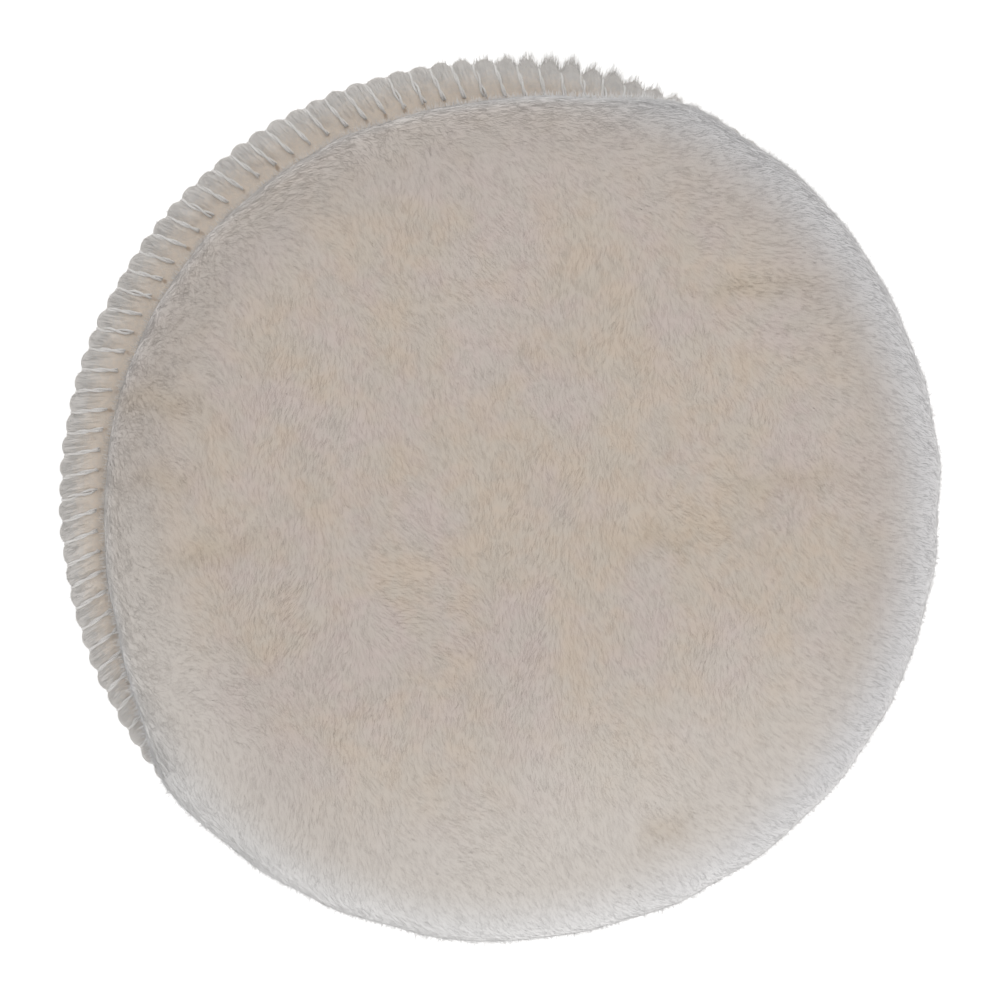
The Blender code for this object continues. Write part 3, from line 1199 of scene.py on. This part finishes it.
    def follow_outline(self, points: np.ndarray) -> np.ndarray:
        """Draws the turned core out or in to the wool's outline, and makes it gently uneven.

        Args:
            points: The core's vertices.

        Returns:
            Where they go.
        """
        radius = np.hypot(points[:, 0], points[:, 1])
        angle = np.arctan2(points[:, 1], points[:, 0])
        bare = self.shape.bareness(angle)
        low, high = self.heights()
        rise = (points[:, 2] - low) / (high - low)
        climb = np.clip((rise - self.waist) / (1 - self.waist), 0, 1)
        past = (radius - self.root_radius) / (self.nominal_radius - self.strand_layer - self.root_radius)
        edge = self.outline(angle) - self.strand_layer
        foot = np.maximum(edge, self.root_radius + 0.1 * MM) - self.root_radius
        below = self.root_radius + past * foot
        drawn = np.where(rise < self.waist, below, edge * (1 - self.drawn_in(radius, climb, bare)))
        height = np.where(rise > 0, low + self.lowered(rise, bare) * (high - low), points[:, 2])
        height = height - self.droop * (1 - bare) * np.clip(past, 0, 1) ** 2 * (1 - climb) ** 2
        flat = points[:, 2] < self.shape.ground[1] + 2 * self.root_gap
        under = (radius < self.root_radius + 0.01 * MM) & flat
        height = np.where(under, points[:, 2], height)
        moved = polar(np.where(under, radius, drawn), angle, height)
        waves = sum(depth * SmoothField(size * MM, seed)(moved) for depth, size, seed in self.swells)
        waves = waves - sum(parting.depth * parting.share(moved) for parting in self.partings)
        moved[:, 2] += waves * MM * ease((points[:, 2] - 10 * MM) / (4 * MM))
        return moved

    def build_core(self) -> bpy.types.Object:
        """Makes the dense wool that the strands lie on."""
        core = reshape(turned("wool_core", self.profile(), 360), self.follow_outline)
        mark(core.data, "furrow", self.furrow(coordinates(core)))
        return core

    def brushing(self, spots: np.ndarray, normals: np.ndarray) -> np.ndarray:
        """Direction that the wool is brushed in: over to one side, out near the rim and down past it.

        Args:
            spots: Places on the core.
            normals: The core's normals there.

        Returns:
            The directions, not yet drawn onto the surface.
        """
        radius = np.hypot(spots[:, 0], spots[:, 1])
        angle = np.arctan2(spots[:, 1], spots[:, 0])
        near = ease((radius - 36 * MM) / (22 * MM))
        edge = ease((radius - 45 * MM) / (13 * MM))[:, None]
        middle = self.middle_heading + 0.45 * SmoothField(30 * MM, 31)(spots)
        middle = middle + 0.25 * SmoothField(6 * MM, 32)(spots)
        heading = middle + (self.shape.lean_heading - self.middle_heading) * near
        lean = polar(1.0, heading, 0.0)
        out = polar(1.0, angle, 0.0)
        side = self.shape.lean_heading
        facing = normals[:, :2] @ np.array([math.cos(side), math.sin(side)])
        combed = self.combed_back * self.shape.bareness(angle)[:, None]
        down = (0.9 * facing + 0.1)[:, None]
        along = out * (0.6 * near[:, None]) - down * np.array(UP) * edge
        return lean * (1 - 0.35 * edge) + along * (1 - combed)

    def facing(self, normal: np.ndarray) -> np.ndarray:
        """Returns the ways that strands face for shading: the core's normals, tilted up."""
        return unit(normal + self.tilt_up * np.array(UP))

    def widths(self, chance: np.random.Generator, count: int) -> np.ndarray:
        """Returns each strand's width at its two inner stations."""
        return self.width * chance.uniform(0.6, 1.15, (count, 1)) * np.array([1.0, 0.75])

    def grow(
        self, surface: Surface, roots: np.ndarray, length: np.ndarray, lift: np.ndarray, seed: int
    ) -> Strands:
        """Lays strands along the core. Each leaves it a little towards its tip.

        Args:
            surface: The core.
            roots: Where the strands start.
            length: Each strand's length.
            lift: How far each tip stands off.
            seed: The seed of their strays.

        Returns:
            The strands.
        """
        chance = np.random.default_rng(seed)
        count = len(roots)
        cell = np.floor(roots / self.lock + 0.5 * chance.normal(size=(count, 3))).astype(np.int64)
        key = (cell @ np.array([7919, 104729, 15485863])) % 8192
        sway = np.random.default_rng(seed + 9).normal(size=(8192, 3))[key]
        stray = self.lock_stray * sway + self.stray * chance.normal(size=(count, 3))
        spot, normal = surface.nearest(roots)
        marks, ways = [spot - self.root_depth * normal], [self.facing(normal)]
        step = length[:, None] / 3
        for share in (0.38, 0.72):
            flow = self.brushing(spot, normal) + stray
            flow = unit(flow - np.sum(flow * normal, axis=1, keepdims=True) * normal)
            spot, normal = surface.nearest(spot + flow * step)
            marks.append(spot + normal * (lift * share**1.5)[:, None])
            ways.append(self.facing(normal))
        onward = unit(marks[-1] - marks[-2])
        marks.append(marks[-1] + onward * step + normal * (lift * 0.3)[:, None])
        ways.append(self.facing(normal))
        widths = self.widths(chance, count)
        tints = chance.random(count)
        return Strands(np.stack(marks, axis=1), np.stack(ways, axis=1), widths, tints, self.furrow(roots))

    def furrow(self, points: np.ndarray) -> np.ndarray:
        """Returns how deep the points lie in a parting, from 0 to 1."""
        return np.clip(sum(parting.share(points) for parting in self.partings), 0, 1)

    def cover(self, surface: Surface) -> Strands:
        """Covers the core with short strands, in order round the pad.

        Args:
            surface: The core.

        Returns:
            The strands.
        """
        chance = np.random.default_rng(self.seed)
        roots = surface.scatter(self.strand_count, self.seed, -0.6)
        roots = roots[np.argsort(np.arctan2(roots[:, 1], roots[:, 0]))]
        count = len(roots)
        side = np.clip(1 - surface.nearest(roots)[1][:, 2], 0, 1) ** 2
        guard = chance.random(count) < self.guard_share * (1 + 5 * side)
        proud = chance.uniform(0.06, 0.2, count) * (1 + 2 * side)
        laid = chance.uniform(0.0, 0.04, count) * (1 + 1.5 * side)
        length = self.length * chance.uniform(0.6, 1.3, count) * (1 + 1.2 * side)
        return self.grow(surface, roots, length, np.where(guard, proud, laid) * MM, self.seed + 1)

    def fringe(self, surface: Surface) -> Strands:
        """Lets strands hang from the wool's edge: over the rim, or onto the bare seam's needle holes.

        Args:
            surface: The core.

        Returns:
            The strands.
        """
        chance = np.random.default_rng(self.seed + 3)
        roots = surface.scatter(self.fringe_count * 8, self.seed + 4, -0.3)
        bare = self.shape.bareness(np.arctan2(roots[:, 1], roots[:, 0]))
        roots = roots[roots[:, 2] < (9.5 - 2.5 * bare) * MM][: self.fringe_count]
        count = len(roots)
        angle = np.arctan2(roots[:, 1], roots[:, 0])
        bare = self.shape.bareness(angle)
        spot, normal = surface.nearest(roots)
        outward = chance.uniform(0.02, 0.22, count) + bare * chance.uniform(0.1, 0.7, count)
        fall = unit(polar(outward, angle, -1.0) + 0.12 * chance.normal(size=(count, 3)))
        length = chance.uniform(1.5, 4.2, count) * MM * (1 - 0.6 * bare)
        lift = chance.uniform(0.02, 0.3, count) * MM
        floor = chance.uniform(1.6, 3.4, count) * MM * (1 - bare) + 4.0 * MM * bare
        marks = [spot - 0.05 * MM * normal]
        for number, share in enumerate((0.35, 0.7, 1.0), 1):
            mark = spot + fall * (length * share)[:, None] + normal * (lift * share)[:, None]
            mark[:, 2] = np.maximum(mark[:, 2], floor - 0.12 * MM * number)
            marks.append(mark)
        ways = np.repeat(self.facing(normal)[:, None], 4, axis=1)
        widths = self.widths(chance, count)
        return Strands(np.stack(marks, axis=1), ways, widths, chance.random(count), np.zeros(count))

    def build(self, finish: Finish, core_finish: Finish, groups: Groups) -> None:
        """Makes the core and its strands, in several pieces round the pad.

        Args:
            finish: The strands' finish.
            core_finish: The core's finish.
            groups: The shared node groups.
        """
        core = self.build_core()
        place(core, core_finish.material(groups), "cream_wool", "wool_pile")
        wool = finish.material(groups)
        surface = Surface(core)
        strands = self.cover(surface)
        for number, part in enumerate(np.array_split(np.arange(self.strand_count), self.pieces), 1):
            place(strands.some(part).build(f"wool_strands_{number}"), wool, "cream_wool", "wool_pile")
        place(self.fringe(surface).build("wool_fringe"), wool, "cream_wool", "wool_pile")


@dataclass
class RimCloths:
    """The ground cloth and the backing cloth, flat in the middle and pillowed in the seam."""

    shape: PadShape
    seam: Seam
    around: int = 8
    seam_rings: int = 14

    def rings(self, side: Side) -> Profile:
        """Rings of one cloth, laid flat: its outer surface in, its lip at the rim, its inner surface back.

        Args:
            side: Which cloth.

        Returns:
            (radius, height) of each ring. In the seam the radius runs on evenly, for mould to read.
        """
        shape = self.shape
        needle = shape.needle_radius
        outside, inside = (shape.ground[1], shape.ground[0]) if side is Side.FACE else shape.backing
        seam_outside = self.seam_height(side)
        seam_inside = shape.seam_middle + side.value * shape.cloth_gap / 2
        steps = [2 * MM, 25 * MM, 50 * MM] + [needle - 6 * MM + 6 * MM * step / 8 for step in range(1, 8)]
        outer = [(radius, float(shape.pinched(radius, outside, seam_outside))) for radius in steps]
        out = [shape.seam_bite * step / self.seam_rings for step in range(self.seam_rings + 1)]
        lip = [(needle + run, seam_outside) for run in out]
        inner = [(radius, float(shape.pinched(radius, inside, seam_inside))) for radius in reversed(steps)]
        back = [(needle + 0.6 * shape.seam_bite, seam_inside), (needle, seam_inside)]
        return [*outer, *lip, *back, *inner]

    def seam_height(self, side: Side) -> float:
        """Returns the height of a cloth's outer surface under the thread."""
        depth = self.seam.face_height if side is Side.FACE else self.seam.back_height
        return self.shape.seam_middle + side.value * (self.shape.cloth_gap / 2 + depth)

    def mould(self, side: Side) -> Callable[[np.ndarray], np.ndarray]:
        """Prepares the move that swells the flat seam into pillows.

        Args:
            side: Which cloth.

        Returns:
            The move, for reshape to make.
        """
        shape = self.shape
        outside = self.seam_height(side)

        def move(points: np.ndarray) -> np.ndarray:
            """Moves the vertices of the seam's outer surface onto the pillows.

            Args:
                points: The cloth's vertices.

            Returns:
                Where they go.
            """
            radius = np.hypot(points[:, 0], points[:, 1])
            angle = np.arctan2(points[:, 1], points[:, 0])
            turn = (radius - shape.needle_radius) / shape.seam_bite
            chosen = (turn > -1e-4) & (np.abs(points[:, 2] - outside) < 1e-6)
            moved = points.copy()
            moved[chosen] = self.seam.surface(side, angle[chosen], np.clip(turn[chosen], 0, 1))
            return moved

        return move

    def build(self, name: str, side: Side) -> bpy.types.Object:
        """Makes one cloth.

        Args:
            name: The object's name.
            side: Face for the fleece's ground cloth, back for the backing cloth.

        Returns:
            The cloth, at the origin.
        """
        cloth = turned(name, self.rings(side), self.shape.stitch_count * self.around)
        return reshape(cloth, self.mould(side))


@dataclass
class RimThread:
    """The whipped thread: two plies that run down each needle hole, under the rim and back over it."""

    shape: PadShape
    seam: Seam
    ply_radius: float = 0.19 * MM
    spread: float = 0.16 * MM
    lift: float = 0.2 * MM
    sunk: float = -0.02 * MM
    lay: float = 5.0 * MM
    open_spreads: tuple[float, ...] = (1.0, 1.1, 1.6)
    open_shares: tuple[float, ...] = (0.5, 0.35, 0.15)
    sink_from: float = 0.34
    sink_over: float = 0.34
    seed: int = 19

    def centre_line(self) -> np.ndarray:
        """Points along the whole thread, which ends where it starts.

        Returns:
            The points of each stitch, in order.
        """
        stitches = np.arange(self.shape.stitch_count)[:, None]
        runs = []
        for side, turn in ((Side.BACK, np.linspace(0.0, 0.97, 6)), (Side.FACE, np.linspace(0.97, 0.0, 10))):
            turn = turn[None]
            lift = self.lift + (self.sunk - self.lift) * ease((turn - self.sink_from) / self.sink_over)
            runs.append(self.seam.surface(side, self.seam.thread_angle(side, stitches, turn), turn, lift))
        return np.concatenate(runs, axis=1)

    def ply(self, turn: float) -> np.ndarray:
        """Points along one ply, which winds round the thread's centre line.

        Args:
            turn: Where round the centre line it starts.

        Returns:
            The points, in order.
        """
        line = self.centre_line()
        each = line.shape[1]
        points = line.reshape(-1, 3)
        ahead = np.roll(points, -1, axis=0)
        along = unit(ahead - np.roll(points, 1, axis=0))
        travelled = np.concatenate([[0], np.cumsum(np.linalg.norm(ahead - points, axis=1))[:-1]])
        across = unit(np.cross(along, np.array([0.0, 0.0, 1.0]) + 1e-3))
        beyond = np.cross(along, across)
        twist = turn + 2 * np.pi * travelled / self.lay
        chance = np.random.default_rng(self.seed)
        opened = chance.choice(self.open_spreads, self.shape.stitch_count, p=self.open_shares)
        step = self.spread * np.repeat(opened, each)[:, None]
        return points + step * (np.cos(twist)[:, None] * across + 0.6 * np.sin(twist)[:, None] * beyond)

    def build(self) -> bpy.types.Object:
        """Makes both plies as closed tubes in one mesh.

        Returns:
            The thread.
        """
        curve = bpy.data.curves.new("rim_thread_plies", "CURVE")
        curve.dimensions = "3D"
        curve.bevel_depth = self.ply_radius
        curve.bevel_resolution = 1
        for turn in (0.0, math.pi):
            points = self.ply(turn)
            spline = curve.splines.new("POLY")
            spline.points.add(len(points) - 1)
            spline.points.foreach_set("co", np.column_stack([points, np.ones(len(points))]).ravel())
            spline.use_cyclic_u = True
        obj = bpy.data.objects.new("rim_thread_plies", curve)
        bpy.context.scene.collection.objects.link(obj)
        only(obj)
        bpy.ops.object.convert(target="MESH")
        bpy.ops.object.shade_smooth()
        return bpy.context.object


@dataclass
class RimWisps:
    """Short wool caught in the seam: it lies out over the pillows, and some tips stand past the rim."""

    shape: PadShape
    seam: Seam
    count: int = 12500
    ragged_share: float = 0.18
    width: float = 0.07 * MM
    seed: int = 23

    def lie(self) -> Strands:
        """Lays each wisp from near the needle holes outwards, along the slant of the stitches.

        Returns:
            The wisps.
        """
        chance = np.random.default_rng(self.seed)
        angle = chance.uniform(0, 2 * np.pi, self.count)
        extra = chance.random(self.count) < self.ragged_share
        angle = np.where(extra, chance.normal(self.seam.ragged, math.radians(10), self.count), angle)
        start = np.where(extra, chance.uniform(0.4, 0.85, self.count), chance.uniform(0.0, 0.75, self.count))
        wild = 1 + 1.6 * self.seam.wildness(angle)
        run = chance.uniform(0.2, 0.5, self.count) * wild**0.5
        lift = chance.uniform(0.0, 0.05, self.count) * MM
        tip_lift = chance.uniform(0.02, 0.16, self.count) * MM
        stray = chance.normal(size=self.count) * 0.05 * self.shape.pitch_angle
        marks, ways = [], []
        for share in (0.0, 0.33, 0.68, 1.0):
            turn = np.clip(start + run * share, 0, 1)
            past = np.clip(start + run * share - 1, 0, 1) * 1.4 * MM * wild
            slant = 0.5 * (self.seam.share(turn) - self.seam.share(start)) * self.shape.pitch_angle
            there = angle + slant + stray * share * wild
            off_it = lift + tip_lift * share**2 - (share == 0) * 0.1 * MM
            spot = self.seam.surface(Side.FACE, there, turn, off_it)
            ways.append(unit(self.seam.surface(Side.FACE, there, turn, off_it + 0.1 * MM) - spot))
            spot[:, :2] += past[:, None] * np.stack([np.cos(angle), np.sin(angle)], axis=-1)
            marks.append(spot)
        widths = self.width * chance.uniform(0.5, 1.1, (self.count, 1)) * np.array([1.0, 0.7])
        tints = chance.random(self.count)
        return Strands(np.stack(marks, axis=1), np.stack(ways, axis=1), widths, tints, np.zeros(self.count))


@dataclass
class FoamDisc:
    """The thin foam between fleece and backing, crushed towards the seam."""

    shape: PadShape
    segments: int = 180

    def build(self) -> bpy.types.Object:
        """Makes the disc with its thinned edge.

        Returns:
            The disc.
        """
        shape = self.shape
        low = (shape.foam[0], shape.backing[1] + 0.9 * MM)
        high = (shape.foam[1], shape.seam_middle - shape.cloth_gap / 2)
        radii = [2 * MM, 20 * MM, 38 * MM, 48 * MM, 51 * MM, 52.5 * MM, shape.foam_radius - 0.4 * MM]
        return layer("foam_disc", shape, radii, shape.foam_radius, low, high, self.segments)


@dataclass
class GripLoops:
    """The brushed grip loops on the back: a thin mat with small loops standing on it."""

    shape: PadShape
    count: int = 5200
    mat: tuple[float, float] = (0.45 * MM, 0.8 * MM)
    edge_lift: float = 0.6 * MM
    height: float = 0.42 * MM
    thickness: float = 0.1 * MM
    foot: float = 0.28 * MM
    segments: int = 240
    seed: int = 29

    def build_mat(self) -> bpy.types.Object:
        """Makes the mat of loop feet, which follows the backing cloth up to the seam.

        Returns:
            The mat.
        """
        rim = self.shape.loops_radius
        radii = [2 * MM, 20 * MM, 40 * MM] + [50 * MM + 1.25 * MM * step for step in range(5)]
        radii.append(rim - 0.2 * MM)
        low, high = ((height, height + self.edge_lift) for height in self.mat)
        return layer("grip_mat", self.shape, radii, rim, low, high, self.segments)

    def loops(self) -> Strands:
        """Bends a small arch of yarn from the mat down and back, at even random places.

        Returns:
            The arches.
        """
        chance = np.random.default_rng(self.seed)
        reach = (self.shape.loops_radius - 1 * MM) * np.sqrt((np.arange(self.count) + 0.5) / self.count)
        angle = np.arange(self.count) * math.pi * (3 - math.sqrt(5)) + chance.normal(size=self.count) * 0.01
        centre = polar(reach, angle, self.shape.pinched(reach, self.mat[0], self.mat[0] + self.edge_lift))
        facing = chance.uniform(0, 2 * np.pi, self.count)
        foot = polar(self.foot * chance.uniform(0.8, 1.2, self.count), facing, np.zeros(self.count))
        tilt = chance.normal(size=(self.count, 3)) * 0.1 * MM
        tilt[:, 2] = 0
        stations = []
        for share in np.linspace(0, 1, 6):
            arch = math.sin(math.pi * share)
            drop = np.array([0.0, 0.0, -self.height * arch + 0.15 * MM * (share in (0.0, 1.0))])
            stations.append(centre + foot * math.cos(math.pi * share) + drop + tilt * arch)
        stations = np.stack(stations, axis=1)
        widths = self.thickness * chance.uniform(0.7, 1.1, (self.count, 1)) * np.ones(4)
        facings = np.broadcast_to(np.array([0.0, 0.0, -1.0]), stations.shape)
        tints = chance.random(self.count)
        return Strands(stations, facings, widths, tints, np.zeros(self.count), softness=0.0)


# The studio


@dataclass(frozen=True)
class Softbox:
    """A square soft light that faces the pad: where it stands, the length of its side and its watts."""

    name: str
    spot: Direction
    size: float
    power: float

    def build(self) -> None:
        """Adds the light."""
        light = bpy.data.lights.new(self.name, "AREA")
        light.size = self.size
        light.energy = self.power
        lamp = bpy.data.objects.new(self.name, light)
        lamp.location = self.spot
        lamp.rotation_euler = (-lamp.location).to_track_quat("-Z", "Y").to_euler()
        bpy.context.scene.collection.objects.link(lamp)


@dataclass(frozen=True)
class Studio:
    """A near-white floor, two soft lights, light from the horizon and a camera straight above the pad."""

    view_width: float = 141.6 * MM
    distance: float = 1.5
    sensor: float = 36.0
    floor_size: float = 8.0
    floor_tone: float = 0.80
    floor_glow: float = 0.55
    horizon: float = 1.05
    zenith: float = 0.42
    softboxes: tuple[Softbox, ...] = (
        Softbox("key_softbox", (0.55, -0.8, 0.9), 0.9, 7.8),
        Softbox("fill_softbox", (0.0, 0.9, 0.8), 1.2, 3.9),
    )

    def build(self, shape: PadShape) -> None:
        """Sets up the floor, the surrounding light, the soft lights and the camera.

        Args:
            shape: The pad's sizes. The view's width is measured at the height of its rim.
        """
        scene = bpy.context.scene
        scene.view_settings.view_transform = "Standard"
        self.floor()
        self.surroundings()
        for softbox in self.softboxes:
            softbox.build()
        camera = bpy.data.objects.new("camera", bpy.data.cameras.new("camera"))
        camera.data.sensor_width = self.sensor
        camera.data.lens = self.sensor * (self.distance - shape.seam_middle) / self.view_width
        camera.data.clip_end = 20.0
        camera.location = (0, 0, self.distance)
        scene.collection.objects.link(camera)
        scene.camera = camera

    def floor(self) -> None:
        """Adds the floor that the pad lies on."""
        bpy.ops.object.select_all(action="DESELECT")
        bpy.ops.mesh.primitive_plane_add(size=self.floor_size)
        floor = bpy.context.object
        floor.name = "studio_floor"
        paint = bpy.data.materials.new("studio_floor")
        paint.use_nodes = True
        inputs = paint.node_tree.nodes["Principled BSDF"].inputs
        inputs["Base Color"].default_value = (*[self.floor_tone] * 3, 1)
        inputs["Roughness"].default_value = 0.9
        inputs["Emission Color"].default_value = (1.0, 1.0, 1.0, 1)
        inputs["Emission Strength"].default_value = self.floor_glow
        floor.data.materials.append(paint)

    def surroundings(self) -> None:
        """Lights the scene from all round, most from the horizon."""
        world = bpy.data.worlds.new("studio")
        world.use_nodes = True
        graph = Graph(world.node_tree)
        ray = graph.add("ShaderNodeTexCoord").outputs["Generated"]
        rise = graph.spread(graph.add("ShaderNodeSeparateXYZ", Vector=ray).outputs["Z"], 0.04, 0.5)
        light = graph.mix(rise, (self.horizon,) * 3, (self.zenith,) * 3)
        world.node_tree.links.new(light, world.node_tree.nodes["Background"].inputs["Color"])
        bpy.context.scene.world = world


def main() -> None:
    """Builds the studio and every piece of the pad, from the wool down to the grip loops."""
    shape = PadShape.from_frame()
    seam = Seam(shape)
    Studio().build(shape)
    groups = {"mottle": mottle_group(), "fuzz": fuzz_group()}
    wool = WoolFinish("cream_wool_strands", fuzz_height=0.0, sheen=0.15)
    core = WoolFinish("cream_wool_core", strands=False, sheen=0.15, fuzz_size=0.3 * MM, fuzz_height=0.04 * MM)
    WoolPile(shape).build(wool, core, groups)

    cloths = RimCloths(shape, seam)
    ground = cloths.build("ground_cloth", Side.FACE)
    place(ground, SeamClothFinish("ground_cloth_knit").material(groups), "ground_knit", "fleece_ground_cloth")
    backing = cloths.build("backing_knit", Side.BACK)
    knit = PlainFinish("backing_knit", light=(0.78, 0.76, 0.73), dark=(0.70, 0.68, 0.65), blotch=1.2 * MM)
    place(backing, knit.material(groups), "backing_knit", "backing_cloth")

    white, shade = (0.87, 0.85, 0.83), (0.80, 0.775, 0.75)
    thread = PlainFinish("white_thread", roughness=0.55, light=white, dark=shade, blotch=1.5 * MM)
    place(RimThread(shape, seam).build(), thread.material(groups), "seam_thread", "rim_thread")
    caught = SeamClothFinish("seam_wool", fuzz_height=0.0, grey=(0.715, 0.688, 0.660))
    wisps = RimWisps(shape, seam).lie().build("seam_wisps")
    place(wisps, caught.material(groups), "cream_wool", "fleece_ground_cloth")

    cells = {"fuzz_size": 0.6 * MM, "fuzz_height": 0.5 * MM}
    foam = PlainFinish("open_foam", light=(0.84, 0.82, 0.72), dark=(0.74, 0.72, 0.62), **cells)
    disc = FoamDisc(shape).build()
    place(disc, foam.material(groups), "open_foam", "foam_interlayer")
    white, shade = (0.80, 0.78, 0.75), (0.72, 0.70, 0.67)
    velvet = PlainFinish("grip_velour", light=white, dark=shade, fuzz_height=0.2 * MM).material(groups)
    loops = GripLoops(shape)
    place(loops.build_mat(), velvet, "grip_velour", "grip_loops")
    place(loops.loops().build("grip_loop_arches"), velvet, "grip_velour", "grip_loops")


if __name__ == "__main__":
    main()
